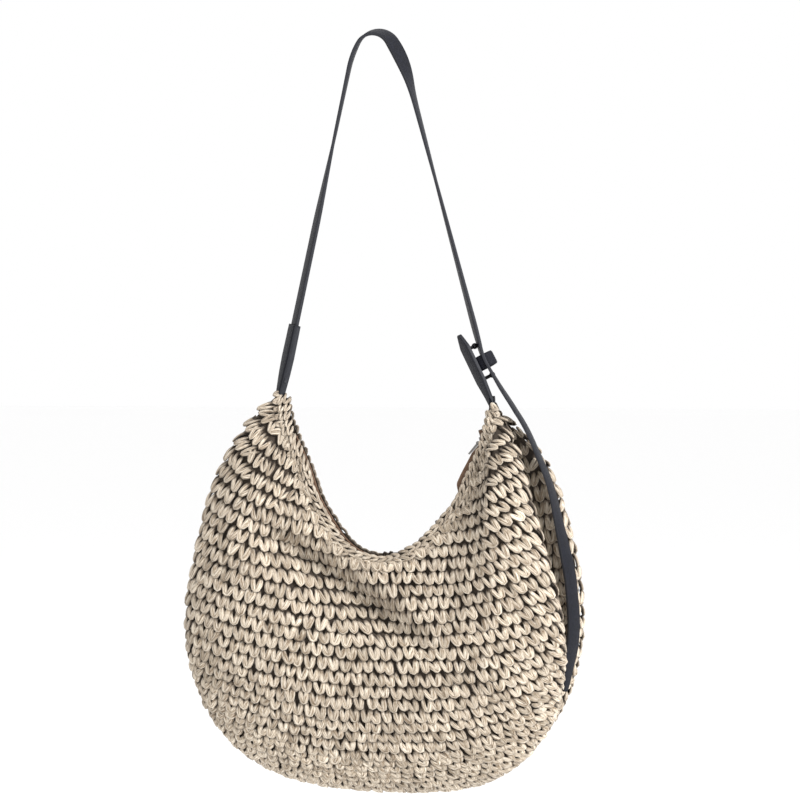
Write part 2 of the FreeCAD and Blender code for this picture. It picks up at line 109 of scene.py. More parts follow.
# The crease that runs down to the right below the left half of the mouth
CREASE_START = np.array([-100.0, -484.0])
CREASE_END = np.array([46.0, -586.0])
CREASE_DEPTH = 23.0
CREASE_WIDTH = 17.0


# Leather
HORN_AXIS_Z = -349.0
ARCH_RADIUS = 18.0
STRAP_WIDTH = 20.0
STRAP_THICK = 3.2
LEFT_LEAN = 12.2                       # degrees from upright
RIGHT_LEAN = 15.0
LOWER_LEAN = 30.5
LEFT_ARCH, LEFT_EASE = 62.0, 100.0      # degrees of the arch, then the easing curve's radius
RIGHT_ARCH, RIGHT_EASE = 58.0, 156.0
LEFT_END_Z = -330.0                    # the strap's left end, inside the sleeve
RIGHT_TURN_Z, RIGHT_TURN_RADIUS = -296.0, 60.0
# side of the arch (0 at its top), height on that side, twist in degrees
STRAP_TWISTS = (
    (-1, -330, 26), (-1, -163, 24), (-1, -88, 10), (-1, -43, 8), (-1, 8, 4), (0, 0, 16),
    (1, 8, 34), (1, -12, 30), (1, -38, 2), (1, -148, -9), (1, -283, -18), (1, -310, -8), (1, -345, 0),
)
STRAP_CUT_Z = -338.0                   # below this the strap is built as a separate piece
SLEEVE_TOP_Z = -273.0
TAB_FOOT = (112.5, -337.0)
TAB_TIP = (84.5, -283.0)
KEEPER_HALF, KEEPER_REACH = 13.2, 19.0
KEEPER_SHIFT = 4.0
KEEPER_START, KEEPER_END = 19.0, 33.0  # along the tab from its foot
ZIP_RADIUS = 100.0
ZIP_ANGLES = (164.5, 379.5)
TAPE_SHOWS = 8.0
TAB_TWIST = 30.0
TAB_PLY = 1.8
TAIL_START = (141.8, -359.0)
TAIL_LENGTHS = (34.0, 62.0, 88.0, 63.0)
TAIL_LEANS = (34.2, 23.2, 12.3, 5.0, -9.0)
TAIL_TURN_RADIUS = 170.0
TAIL_TIP_LENGTH = 42.0
TAIL_TIP_TAPER = ((42.0, 20.0), (6.0, 9.5), (1.5, 7.0), (0.0, 4.0))    # distance from the end, width
TAIL_TWISTS = ((0, 0), (40, 1), (100, 10), (160, 24))
TAIL_END_TWIST = 28.0
SLEEVE_WIDTHS = ((-342.0, 14.0), (-325.0, 20.0), (-306.0, 24.6), (-280.0, 24.0))    # height, width
SLEEVE_FOOT_WIDTH, SLEEVE_TOP_WIDTH = 12.0, 23.4
SLEEVE_TWIST = 27.0
TAB_FOOT_WIDTHS = ((0.0, 12.0), (10.0, 13.0), (26.0, 20.0))
TAB_TIP_TAPER = ((14.0, 20.0), (4.0, 9.5), (1.0, 6.0), (0.0, 3.0))
KEEPER_TWIST = 20.0
KEEPER_CORNER = 5.0
FLOOR_HALF_SIZE = 25.0                 # metres
EDGE_COLUMNS = {1, 2, 3, 7, 8, 9}      # of the band's cross-section: its cut edges


# ---- Small helpers -----------------------------------------------------------
def smoothstep(low, high, value):
    share = np.clip((value - low) / (high - low), 0.0, 1.0)
    return share * share * (3.0 - 2.0 * share)


def unit(vectors):
    length = np.linalg.norm(vectors, axis=-1, keepdims=True)
    return vectors / np.maximum(length, 1e-9)


def natural_spline(knots, values, at):
    """Natural cubic spline through values at knots, one column at a time."""
    count = len(knots)
    step = np.diff(knots)
    matrix = np.eye(count)
    right = np.zeros((count, values.shape[1]))
    for i in range(1, count - 1):
        matrix[i, i - 1:i + 2] = step[i - 1], 2.0 * (step[i - 1] + step[i]), step[i]
        slope = np.diff(values[i - 1:i + 2], axis=0) / step[i - 1:i + 1, None]
        right[i] = 6.0 * (slope[1] - slope[0])
    bend = np.linalg.solve(matrix, right)
    index = np.clip(np.searchsorted(knots, at) - 1, 0, count - 2)
    h = step[index][:, None]
    left_part = (knots[index + 1] - at)[:, None] / h
    right_part = 1.0 - left_part
    curve = ((left_part ** 3 - left_part) * bend[index] + (right_part ** 3 - right_part) * bend[index + 1])
    return left_part * values[index] + right_part * values[index + 1] + curve * h * h / 6.0


def along(points, share):
    """Points at shares of the length of a polyline."""
    reach = np.concatenate([[0.0], np.cumsum(np.linalg.norm(np.diff(points, axis=0), axis=1))])
    at = np.asarray(share) * reach[-1]
    return np.stack([np.interp(at, reach, points[:, k]) for k in range(points.shape[1])], axis=1)


def direction(line, share, reach):
    """Directions of a polyline at shares of its length, from points a reach before and after."""
    return unit(along(line, np.minimum(share + reach, 1.0)) - along(line, np.maximum(share - reach, 0.0)))


def smooth_curve(points, per_span=10):
    knots = np.concatenate([[0.0], np.cumsum(np.sqrt(np.linalg.norm(np.diff(points, axis=0), axis=1)))])
    fine = np.linspace(knots[0], knots[-1], per_span * (len(points) - 1) + 1)
    return natural_spline(knots, points, fine)


def add_mesh(name, vertices, faces, smooth=True, attributes=None):
    """A mesh object from millimetre vertices, with float attributes on its points."""
    mesh = bpy.data.meshes.new(name)
    mesh.from_pydata((np.asarray(vertices) * MM).tolist(), [], faces)
    mesh.polygons.foreach_set("use_smooth", np.full(len(mesh.polygons), smooth))
    for key, values in (attributes or {}).items():
        layer = mesh.attributes.new(key, "FLOAT", "POINT")
        layer.data.foreach_set("value", np.asarray(values, np.float32))
    mesh.update()
    thing = bpy.data.objects.new(name, mesh)
    bpy.context.scene.collection.objects.link(thing)
    return thing


def grid_faces(rows, columns, wrap_rows=False, wrap_columns=False):
    faces = []
    for i in range(rows if wrap_rows else rows - 1):
        for j in range(columns if wrap_columns else columns - 1):
            a, b = i, (i + 1) % rows
            c, d = j, (j + 1) % columns
            faces.append((a * columns + c, a * columns + d, b * columns + d, b * columns + c))
    return faces


# ---- The crocheted body's surface ---------------------------------------------
def skin_outline(rim, outer, depth, fold, sink):
    """Half a section from the mouth's edge round to the side fold, as radius and depth."""
    width = min(RIM_WIDTH, RIM_SHARE * (outer - rim))
    start = rim + width
    edge = outer - sink
    full = depth - sink
    lip = min(RIM_HALF_DEPTH, depth) - sink
    span = edge - start
    points = np.array([
        (rim + 0.15 * sink, lip - 1.2), (rim + 0.5 * width, lip + 0.2), (start, lip + 0.6),
        (start + 0.30 * span, lip + 0.75 * (full - lip)), (start + 0.60 * span, full),
        (edge - 0.08 * span, 0.75 * full), (edge, 0.5 * depth), (edge - fold, SEAM_HALF_GAP),
    ])
    return smooth_curve(points)


def crease(x, z):
    """How far the front is pushed in by its crease, and out above it."""
    ahead = unit(CREASE_END - CREASE_START)
    length = np.linalg.norm(CREASE_END - CREASE_START)
    offset_x = x - CREASE_START[0]
    offset_z = z - CREASE_START[1]
    reach = (offset_x * ahead[0] + offset_z * ahead[1]) / length
    across = -offset_x * ahead[1] + offset_z * ahead[0]
    fade = smoothstep(-0.25, 0.15, reach) * (1.0 - smoothstep(0.65, 1.25, reach))
    hollow = np.exp(-(across / CREASE_WIDTH) ** 2)
    ridge = np.exp(-((across - 24.0) / 13.0) ** 2)
    return fade * (CREASE_DEPTH * hollow - 6.0 * ridge)


def sag(x, z, side):
    """Slow unevenness of hand-made cloth."""
    phase = 0.0 if side < 0 else 2.1
    slow = np.sin(x / 41.0 + 1.3 + phase) * np.cos(z / 53.0 + 0.4)
    return 1.3 * slow + 0.8 * np.sin(x / 23.0 - z / 31.0 + phase)


class Skin:
    """One crocheted half as a grid: rows run from the left horn to the right one."""

    def __init__(self, side, sink):
        self.side = side
        self.angles = np.linspace(SECTIONS[0, 0], SECTIONS[-1, 0], GRID_ANGLES)
        share = np.linspace(0.0, 1.0, GRID_DOWN)
        points = self.lofted(sink, share)
        self.level = self.row_level(points, self.angles)
        self.shape(points, share)
        self.points = points
        self.normals = self.outward_normals()

    def lofted(self, sink, share):
        """Points of the smooth surface through all sections, the mouth's edge first."""
        sections = natural_spline(SECTIONS[:, 0], SECTIONS[:, 1:], self.angles)
        points = np.zeros((GRID_ANGLES, GRID_DOWN, 3))
        for i, (angle, section) in enumerate(zip(self.angles, sections)):
            outline = along(skin_outline(*section, sink), share)
            turn = math.radians(angle)
            points[i, :, 0] = MOUTH_X + outline[:, 0] * math.cos(turn)
            points[i, :, 1] = self.side * outline[:, 1]
            points[i, :, 2] = MOUTH_Z + outline[:, 0] * math.sin(turn)
        return points

    def shape(self, points, share):
        """Fold in the right edge, swell the back half, and press in the crease and the sag."""
        depth = np.abs(points[..., 1])
        drawn_in = np.interp(points[..., 2], VALLEY_HEIGHTS, VALLEY_DEPTHS)
        drawn_in = drawn_in * smoothstep(0.08, 0.5, share)[None, :]
        if self.side > 0:
            swell = np.interp(points[..., 2], SWELL_HEIGHTS, SWELL_WIDTHS)
            drawn_in = drawn_in * (1.0 - smoothstep(4.0, 18.0, depth))
            drawn_in = drawn_in - swell * smoothstep(10.0, 24.0, depth)
        points[..., 0] -= drawn_in * smoothstep(60.0, 130.0, points[..., 0])
        push = sag(points[..., 0], points[..., 2], self.side)
        if self.side < 0:
            push = push + crease(points[..., 0], points[..., 2])
        points[..., 1] -= self.side * push * smoothstep(4.0, 24.0, depth)

    def outward_normals(self):
        down = np.gradient(self.points, axis=1)
        across = np.gradient(self.points, axis=0)
        normals = unit(np.cross(across, down)) * -self.side
        middle = (GRID_ANGLES // 2, 40)
        centre = self.points.reshape(-1, 3).mean(0) * [1, 0, 1]
        inside_out = np.sum((self.points[middle] - centre) * normals[middle]) < 0
        return -normals if inside_out else normals

    @staticmethod
    def row_level(points, angles):
        """Height of the crochet row that passes through each point."""
        x, y, z = points[..., 0], points[..., 1], points[..., 2]
        rings = np.sqrt((z - ROW_CENTRE_Z) ** 2 + ROW_CURVE * (x - ROW_CENTRE_X) ** 2)
        step = np.linalg.norm(np.diff(points, axis=1), axis=2)
        reach = np.concatenate([np.zeros((len(angles), 1)), np.cumsum(step, axis=1)], axis=1)
        widest = np.argmax(np.abs(y), axis=1)
        past = np.maximum(0.0, reach - reach[np.arange(len(angles)), widest][:, None] - BOTTOM_START)
        under = smoothstep(0.55, 0.9, -np.sin(np.radians(angles)))[:, None]
        beyond = np.maximum(0.0, past - BOTTOM_CLOSE_START)
        return -rings - (BOTTOM_CLOSING * past + BOTTOM_CLOSE_CLOSING * beyond) * under


def contour(skin, level):
    """Lines on the skin where its row level has one value: points, normals."""
    rows, columns = skin.level.shape
    index = np.arange(rows * columns).reshape(rows, columns)
    a, b = index[:-1, :-1].ravel(), index[:-1, 1:].ravel()
    c, d = index[1:, 1:].ravel(), index[1:, :-1].ravel()
    triangles = np.concatenate([np.stack([a, b, c], 1), np.stack([a, c, d], 1)])
    value = skin.level.ravel() - level
    value = np.where(np.abs(value) < 1e-6, 1e-6, value)
    sign = value[triangles] > 0
    crossing = triangles[(sign.sum(1) > 0) & (sign.sum(1) < 3)]
    points = skin.points.reshape(-1, 3)
    normals = skin.normals.reshape(-1, 3)
    place, links = {}, {}
    for triangle in crossing:
        cut = []
        for p, q in ((0, 1), (1, 2), (2, 0)):
            i, j = int(triangle[p]), int(triangle[q])
            if (value[i] > 0) != (value[j] > 0):
                key = (min(i, j), max(i, j))
                cut.append(key)
                if key not in place:
                    share = value[key[0]] / (value[key[0]] - value[key[1]])
                    place[key] = (points[key[0]] + share * (points[key[1]] - points[key[0]]),
                                  normals[key[0]] + share * (normals[key[1]] - normals[key[0]]))
        if len(cut) == 2:
            links.setdefault(cut[0], []).append(cut[1])
            links.setdefault(cut[1], []).append(cut[0])
    lines = []
    waiting = set(links)
    while waiting:
        ends = [key for key in waiting if len(links[key]) == 1]
        key = min(ends) if ends else min(waiting)
        chain = []
        while key is not None:
            chain.append(key)
            waiting.discard(key)
            key = next((other for other in links[key] if other in waiting), None)
        line = np.array([place[key][0] for key in chain])
        normal = np.array([place[key][1] for key in chain])
        if len(line) > 3:
            if line[0, 0] > line[-1, 0]:
                line, normal = line[::-1], normal[::-1]
            lines.append((line, normal))
    return lines


# ---- Stitches -------------------------------------------------------------------
# One stitch is a flat strand that comes down, turns round and goes up again:
# place across the stitch, height in rows, lift off the wall, width
STITCH_PATH = np.array([
    (-0.33, 0.68, -2.7, 0.62), (-0.325, 0.52, -1.2, 0.82), (-0.31, 0.32, 0.5, 0.98),
    (-0.255, 0.05, 1.6, 1.04), (-0.165, -0.22, 2.0, 0.98), (0.0, -0.36, 1.3, 0.84),
    (0.165, -0.22, 2.0, 0.98), (0.255, 0.05, 1.6, 1.04), (0.31, 0.32, 0.5, 0.98),
    (0.325, 0.52, -1.2, 0.82), (0.33, 0.68, -2.7, 0.62),
])
PATH_STEPS = 19
EDGE_SHADE = 3.2                       # how strongly the painted shade darkens a strand towards its edges
ROUND_STEPS = 10


def stitch_mesh(sites, jitter=1.35):
    """Vertices, faces and attributes of strands at many sites.

    A site is (centre, tangent, up, normal, width, row height, lean, scale)."""
    base = smooth_curve(STITCH_PATH, 6)
    count = len(sites)
    share = np.linspace(0.0, 1.0, PATH_STEPS)
    reach = along(base, share)
    centre = np.array([s[0] for s in sites])
    tangent = np.array([s[1] for s in sites])
    up = np.array([s[2] for s in sites])
    normal = np.array([s[3] for s in sites])
    width = np.array([s[4] for s in sites])
    height = np.array([s[5] for s in sites])
    lean = np.array([s[6] for s in sites])
    scale = np.array([s[7] for s in sites])
    wobble = RNG.normal(0.0, 1.0, (count, 6)) * jitter
    left_leg = (reach[:, 0] < 0)[None, :]
    leg_weight = np.where(left_leg, 1.0 - 0.55 * np.abs(lean)[:, None], 1.0 + 0.25 * np.abs(lean)[:, None])
    across = reach[None, :, 0] * (1.0 + 0.07 * wobble[:, :1])
    across = across - (lean[:, None] + 0.07 * wobble[:, 1:2]) * (reach[None, :, 1] + 0.3)
    rise = reach[None, :, 1] * (1.0 + 0.06 * wobble[:, 2:3]) + 0.035 * wobble[:, 3:4]
    lift = reach[None, :, 2] * scale[:, None] + 0.28 * wobble[:, 4:5]
    spine = (centre[:, None] + across[..., None] * width[:, None, None] * tangent[:, None]
             + rise[..., None] * height[:, None, None] * up[:, None] + lift[..., None] * normal[:, None])
    ahead = unit(np.gradient(spine, axis=1))
    sideways = unit(np.cross(np.repeat(normal[:, None], PATH_STEPS, 1), ahead))
    outward = unit(np.cross(ahead, sideways))
    turn = np.linspace(0.0, 2.0 * math.pi, ROUND_STEPS, endpoint=False)
    rough = RNG.normal(0.0, 1.0, (count, PATH_STEPS, ROUND_STEPS))
    ridges = RNG.normal(0.0, 1.0, (count, 1, ROUND_STEPS))
    rough = 0.055 * rough + 0.12 * ridges
    wide = LEG_HALF_WIDTH * reach[None, :, 3] * leg_weight * scale[:, None] * (width / STITCH_PITCH)[:, None]
    thick = LEG_HALF_THICK * scale[:, None] * np.ones_like(wide)
    power = np.sign(np.cos(turn)) * np.abs(np.cos(turn)) ** 0.8
    flat_top = np.sign(np.sin(turn)) * np.abs(np.sin(turn)) ** 0.6
    ring = (power[None, None, :, None] * (wide[..., None, None]) * sideways[:, :, None]
            + (flat_top[None, None, :, None] * thick[..., None, None]) * outward[:, :, None])
    vertices = spine[:, :, None] + ring * (1.0 + rough[..., None])
    one = grid_faces(PATH_STEPS, ROUND_STEPS, wrap_columns=True)
    one.append(tuple(range(ROUND_STEPS))[::-1])
    last = (PATH_STEPS - 1) * ROUND_STEPS
    one.append(tuple(range(last, last + ROUND_STEPS)))
    size = PATH_STEPS * ROUND_STEPS
    faces = [tuple(v + k * size for v in face) for k in range(count) for face in one]
    tone = np.repeat(RNG.uniform(0.0, 1.0, count), size)
    run = np.broadcast_to(share[None, :, None] * 24.0, (count, PATH_STEPS, ROUND_STEPS)).ravel()
    cross = np.broadcast_to(turn[None, None, :], (count, PATH_STEPS, ROUND_STEPS)).ravel()
    # the strand's height off the wall, its underside counted lower, sets its painted shade and painted
    # highlight
    above_wall = lift[..., None] + EDGE_SHADE * np.sin(turn)
    shade_height = np.clip((above_wall + 4.0) / 8.0, 0.0, 1.0).ravel()
    return vertices.reshape(-1, 3), faces, {"tone": tone, "run": run, "cross": cross, "height": shade_height}


def lean_at(x, side):
    """Stitches slant to the left on the right half of the bag, as their rows do."""
    amount = 0.12 + 0.28 * smoothstep(-60.0, 70.0, x if side < 0 else -x + 20.0)
    return float(amount)


def row_sites(line, normal, above, side, pitch, height, shift):
    """Stitch sites spaced along one row line; above is the next row's points."""
    length = np.linalg.norm(np.diff(line, axis=0), axis=1).sum()
    horn = float(smoothstep(-480.0, -410.0, line[:, 2].mean()))
    pitch = pitch * (1.0 - 0.32 * horn)
    count = int(round(length / pitch))
    if count < 1:
        return []
    share = (np.arange(count) + 0.5 + shift * 0.5) / count
    share = np.clip(share + RNG.normal(0.0, 0.07, count) / count, 0.0, 1.0)
    place = along(line, share)
    ahead = direction(line, share, 0.6 / count)
    # normals follow the same shares of the line
    reach = np.concatenate([[0.0], np.cumsum(np.linalg.norm(np.diff(line, axis=0), axis=1))])
    out = np.stack([np.interp(share * reach[-1], reach, normal[:, k]) for k in range(3)], axis=1)
    out = unit(out)
    sites = []
    for point, tangent, outward in zip(place, ahead, out):
        tangent = unit(tangent - outward * np.dot(tangent, outward))
        up = unit(np.cross(outward, tangent))
        if up[2] < 0 and abs(up[2]) > 0.2:
            up = -up
        rise = height
        if above is not None and len(above):
            offset = above - point
            distance = np.linalg.norm(offset, axis=1)
            nearest = int(np.argmin(distance))
            if 0.45 * height < distance[nearest] < 1.7 * height:
                rise = distance[nearest]
                up = unit(unit(offset[nearest]) + 0.6 * up)
        swing = RNG.normal(0.0, 0.08 + 0.30 * horn)
        tangent, up = (tangent * math.cos(swing) + up * math.sin(swing),
                       up * math.cos(swing) - tangent * math.sin(swing))
        rise = rise * (1.0 - 0.12 * horn)
        lean = lean_at(point[0], side)
        sites.append((point, tangent, up, outward, length / count, rise, lean, 1.0 - 0.06 * horn))
    return sites


def body_rows(side):
    """All sites of one half, top row first, with the row number of each."""
    skin = Skin(side, STITCH_SINK)
    top, bottom = skin.level.max(), skin.level.min()
    levels = [top - 5.0]
    while levels[-1] > bottom + 3.0:
        depth = (levels[-1] - bottom) / (top - bottom)
        share = 0.84 + 0.16 * float(smoothstep(0.05, 0.3, depth))
        levels.append(levels[-1] - ROW_PITCH * share)
    rows = []
    previous = None
    for number, level in enumerate(levels):
        lines = contour(skin, level)
        sites = []
        for line, normal in lines:
            sites += row_sites(line, normal, previous, side, STITCH_PITCH, ROW_PITCH, number % 2 - 0.5)
        # the edging band covers what lies within its width of the mouth
        rows.append([site for site in sites if past_rim(site[0]) > EDGING_WIDTH])
        previous = np.concatenate([line for line, _ in lines]) if lines else None
    return skin, rows


def past_rim(point):
    """How far a point lies outside the mouth's edge."""
    angle = math.degrees(math.atan2(point[2] - MOUTH_Z, point[0] - MOUTH_X)) % 360.0
    if angle < 90.0:
        angle += 360.0
    rim = natural_spline(SECTIONS[:, 0], SECTIONS[:, 1:2], np.array([angle]))[0, 0]
    return math.hypot(point[0] - MOUTH_X, point[2] - MOUTH_Z) - rim


def rim_sites(skin):
    """Narrow slanting rows round the mouth's edge, the lowest under the body's own rows."""
    sites = []
    down = np.linalg.norm(np.diff(skin.points, axis=1), axis=2)
    reach = np.concatenate([np.zeros((GRID_ANGLES, 1)), np.cumsum(down, axis=1)], axis=1)
    for number, (offset, sink) in enumerate(((13.5, -1.4), (8.0, 0.0), (2.2, 0.4))):
        line = np.array([[np.interp(offset, reach[i], skin.points[i, :, k]) for k in range(3)]
                         for i in range(GRID_ANGLES)])
        normal = np.array([[np.interp(offset, reach[i], skin.normals[i, :, k]) for k in range(3)]
                           for i in range(GRID_ANGLES)])
        length = np.linalg.norm(np.diff(line, axis=0), axis=1).sum()
        count = int(length / RIM_STITCH_PITCH)
        share = (np.arange(count) + 0.5 * (number % 2) + 0.25) / count
        place = along(line, share)
        fine = np.concatenate([[0.0], np.cumsum(np.linalg.norm(np.diff(line, axis=0), axis=1))])
        out = unit(np.stack([np.interp(share * fine[-1], fine, normal[:, k]) for k in range(3)], 1))
        ahead = direction(line, share, 0.003)
        for point, tangent, outward in zip(place, ahead, out):
            towards = np.array([MOUTH_X - point[0], 0.0, MOUTH_Z - point[2]])
            up = unit(towards - outward * np.dot(towards, outward))
            tangent = unit(np.cross(up, outward))
            place_out = point + sink * outward
            if number == 0:
                sites.append((place_out, tangent, up, outward, RIM_STITCH_PITCH, 7.4, 0.5, 0.9))
            else:
                chain = RIM_STITCH_PITCH * 1.25
                sites.append((place_out, up, -tangent, outward, 7.2, chain, 0.1, 0.82))
    return sites


# ---- Materials --------------------------------------------------------------------
def new_material(name):
    material = bpy.data.materials.new(name)
    material.use_nodes = True
    nodes = material.node_tree.nodes
    shader = nodes["Principled BSDF"]
    return material, nodes, material.node_tree.links, shader


def add_node(nodes, kind, **values):
    node = nodes.new(kind)
    for key, value in values.items():
        if key in node.inputs:
            node.inputs[key].default_value = value
        else:
            setattr(node, key, value)
    return node


def ramp(nodes, stops):
    node = nodes.new("ShaderNodeValToRGB")
    while len(node.color_ramp.elements) < len(stops):
        node.color_ramp.elements.new(0.5)
    for element, (place, colour) in zip(node.color_ramp.elements, stops):
        element.position = place
        element.color = (*colour, 1.0)
    return node


def raffia(name, brightness=1.0, painted_shade_share=1.0):
    """Straw in flat strands: lengthwise streaks, brown flecks, a tone for each stitch, painted shade where
    the strands dive towards the wall and a painted highlight on their tops.
    """
    material, nodes, links, shader = new_material(name)
    shader.inputs["Roughness"].default_value = 0.62
    shader.inputs["Specular IOR Level"].default_value = 0.32
    shader.inputs["Sheen Weight"].default_value = 0.15
    run = add_node(nodes, "ShaderNodeAttribute", attribute_name="run")
    cross = add_node(nodes, "ShaderNodeAttribute", attribute_name="cross")
    tone = add_node(nodes, "ShaderNodeAttribute", attribute_name="tone")
    place = nodes.new("ShaderNodeCombineXYZ")
    slow_run = add_node(nodes, "ShaderNodeMath", operation="MULTIPLY")
    slow_run.inputs[1].default_value = 0.07
    far_apart = add_node(nodes, "ShaderNodeMath", operation="MULTIPLY")
    far_apart.inputs[1].default_value = 313.0
    links.new(run.outputs["Fac"], slow_run.inputs[0])
    links.new(tone.outputs["Fac"], far_apart.inputs[0])
    links.new(slow_run.outputs[0], place.inputs["X"])
    links.new(cross.outputs["Fac"], place.inputs["Y"])
    links.new(far_apart.outputs[0], place.inputs["Z"])
    streaks = add_node(nodes, "ShaderNodeTexNoise", Scale=3.1, Detail=4.0, Roughness=0.65)
    links.new(place.outputs[0], streaks.inputs["Vector"])

    def shade(colour):
        return tuple(c * brightness for c in colour)

    streak_colour = ramp(nodes, [(0.36, shade((0.19, 0.13, 0.078))), (0.44, shade((0.40, 0.32, 0.235))),
                                 (0.51, shade((0.61, 0.52, 0.415))), (0.61, shade((0.86, 0.78, 0.665)))])
    links.new(streaks.outputs["Fac"], streak_colour.inputs["Fac"])
    texture = nodes.new("ShaderNodeTexCoord")
    flecks = add_node(nodes, "ShaderNodeTexNoise", Scale=430.0, Detail=3.0, Roughness=0.7)
    links.new(texture.outputs["Object"], flecks.inputs["Vector"])
    fleck_mask = ramp(nodes, [(0.60, (0.0, 0.0, 0.0)), (0.70, (1.0, 1.0, 1.0))])
    links.new(flecks.outputs["Fac"], fleck_mask.inputs["Fac"])
    fleck_share = add_node(nodes, "ShaderNodeMath", operation="MULTIPLY")
    fleck_share.inputs[1].default_value = 0.55
    links.new(fleck_mask.outputs["Color"], fleck_share.inputs[0])
    flecked = add_node(nodes, "ShaderNodeMix", data_type="RGBA")
    flecked.inputs["B"].default_value = (*shade((0.36, 0.23, 0.12)), 1.0)
    links.new(fleck_share.outputs[0], flecked.inputs["Factor"])
    links.new(streak_colour.outputs["Color"], flecked.inputs["A"])
    stitch_tone = ramp(nodes, [(0.0, (0.72, 0.69, 0.65)), (0.35, (0.94, 0.92, 0.90)),
                               (1.0, (1.14, 1.13, 1.11))])
    links.new(tone.outputs["Fac"], stitch_tone.inputs["Fac"])
    toned = add_node(nodes, "ShaderNodeMix", data_type="RGBA", blend_type="MULTIPLY")
    toned.inputs["Factor"].default_value = 1.0
    links.new(flecked.outputs["Result"], toned.inputs["A"])
    links.new(stitch_tone.outputs["Color"], toned.inputs["B"])
    # painted shade darkens a strand where it dives towards the wall and on its underside; values over one
    # paint a highlight on its top
    height = add_node(nodes, "ShaderNodeAttribute", attribute_name="height")
    hollow = ramp(nodes, [(0.30, (0.09, 0.07, 0.055)), (0.68, (0.38, 0.345, 0.31)),
                         (0.82, (0.86, 0.85, 0.84)), (0.97, (1.16, 1.16, 1.15))])
    links.new(height.outputs["Fac"], hollow.inputs["Fac"])
    shaded = add_node(nodes, "ShaderNodeMix", data_type="RGBA", blend_type="MULTIPLY")
    shaded.inputs["Factor"].default_value = painted_shade_share
    links.new(toned.outputs["Result"], shaded.inputs["A"])
    links.new(hollow.outputs["Color"], shaded.inputs["B"])
    links.new(shaded.outputs["Result"], shader.inputs["Base Color"])
    fibre = add_node(nodes, "ShaderNodeTexNoise", Scale=6.5, Detail=3.0, Roughness=0.6)
    links.new(place.outputs[0], fibre.inputs["Vector"])
    bump = add_node(nodes, "ShaderNodeBump", Strength=0.9, Distance=0.0010)
    links.new(fibre.outputs["Fac"], bump.inputs["Height"])
    links.new(bump.outputs["Normal"], shader.inputs["Normal"])
    return material


def plain(name, colour, rough, metal=0.0, grain=None, specular=0.5):
    """A simple finish: colour, with grain = (scale, bump distance, colour spread)."""
    material, nodes, links, shader = new_material(name)
    shader.inputs["Base Color"].default_value = (*colour, 1.0)
    shader.inputs["Roughness"].default_value = rough
    shader.inputs["Metallic"].default_value = metal
    shader.inputs["Specular IOR Level"].default_value = specular
    if grain:
        scale, distance, spread = grain
        texture = nodes.new("ShaderNodeTexCoord")
        noise = add_node(nodes, "ShaderNodeTexNoise", Scale=scale, Detail=5.0, Roughness=0.6)
        links.new(texture.outputs["Object"], noise.inputs["Vector"])
        dark = tuple(c * (1.0 - spread) for c in colour)
        light = tuple(min(1.0, c * (1.0 + spread)) for c in colour)
        shades = ramp(nodes, [(0.3, dark), (0.7, light)])
        links.new(noise.outputs["Fac"], shades.inputs["Fac"])
        links.new(shades.outputs["Color"], shader.inputs["Base Color"])
        bump = add_node(nodes, "ShaderNodeBump", Strength=0.6, Distance=distance)
        links.new(noise.outputs["Fac"], bump.inputs["Height"])
        links.new(bump.outputs["Normal"], shader.inputs["Normal"])
    return material


def leather(name, colour, rough):
    """Grained leather: small rounded cells with soft wrinkles."""
    material, nodes, links, shader = new_material(name)
    shader.inputs["Roughness"].default_value = rough
    shader.inputs["Specular IOR Level"].default_value = 0.15
    texture = nodes.new("ShaderNodeTexCoord")
    cells = add_node(nodes, "ShaderNodeTexVoronoi", Scale=900.0, feature="DISTANCE_TO_EDGE")
    noise = add_node(nodes, "ShaderNodeTexNoise", Scale=260.0, Detail=4.0, Roughness=0.6)
    links.new(texture.outputs["Object"], cells.inputs["Vector"])
    links.new(texture.outputs["Object"], noise.inputs["Vector"])
    dark = tuple(c * 0.7 for c in colour)
    light = tuple(c * 1.45 for c in colour)
    shades = ramp(nodes, [(0.35, dark), (0.7, light)])
    links.new(noise.outputs["Fac"], shades.inputs["Fac"])
    links.new(shades.outputs["Color"], shader.inputs["Base Color"])
    grain = ramp(nodes, [(0.0, (0.0, 0.0, 0.0)), (0.14, (1.0, 1.0, 1.0))])
    links.new(cells.outputs["Distance"], grain.inputs["Fac"])
    height = add_node(nodes, "ShaderNodeMath", operation="ADD")
    links.new(grain.outputs["Color"], height.inputs[0])
    links.new(noise.outputs["Fac"], height.inputs[1])
    bump = add_node(nodes, "ShaderNodeBump", Strength=0.45, Distance=0.00025)
    links.new(height.outputs[0], bump.inputs["Height"])
    links.new(bump.outputs["Normal"], shader.inputs["Normal"])
    return material


STRAW = raffia("raffia_straw", 0.72)
# the edging gets only part of the painted shade and painted highlight
STRAW_RIM = raffia("raffia_rim", 0.76, painted_shade_share=0.6)
# painted shade: a dark sheet behind the stitches for the shadow seen between them
SHADE_SHEET = plain("raffia_shadow", (0.032, 0.022, 0.014), 0.9, grain=(300.0, 0.0008, 0.45))
LEATHER = leather("charcoal_leather", (0.0036, 0.0042, 0.0085), 0.52)
LEATHER_EDGE = plain("leather_cut_edge", (0.016, 0.017, 0.022), 0.6, grain=(500.0, 0.0002, 0.25),
                     specular=0.3)
METAL = plain("dark_nickel", (0.20, 0.19, 0.18), 0.28, metal=1.0)
STUD_METAL = plain("black_metal", (0.02, 0.02, 0.022), 0.25, metal=0.6)
TAPE = plain("zip_tape", (0.13, 0.075, 0.045), 0.85, grain=(1400.0, 0.0003, 0.3))
COIL = plain("zip_coil", (0.07, 0.042, 0.028), 0.5, grain=(700.0, 0.0003, 0.2))
LINING = plain("lining_cotton", (0.14, 0.098, 0.066), 0.9, grain=(1200.0, 0.0003, 0.2))


def dress(thing, material):
    thing.data.materials.clear()
    thing.data.materials.append(material)


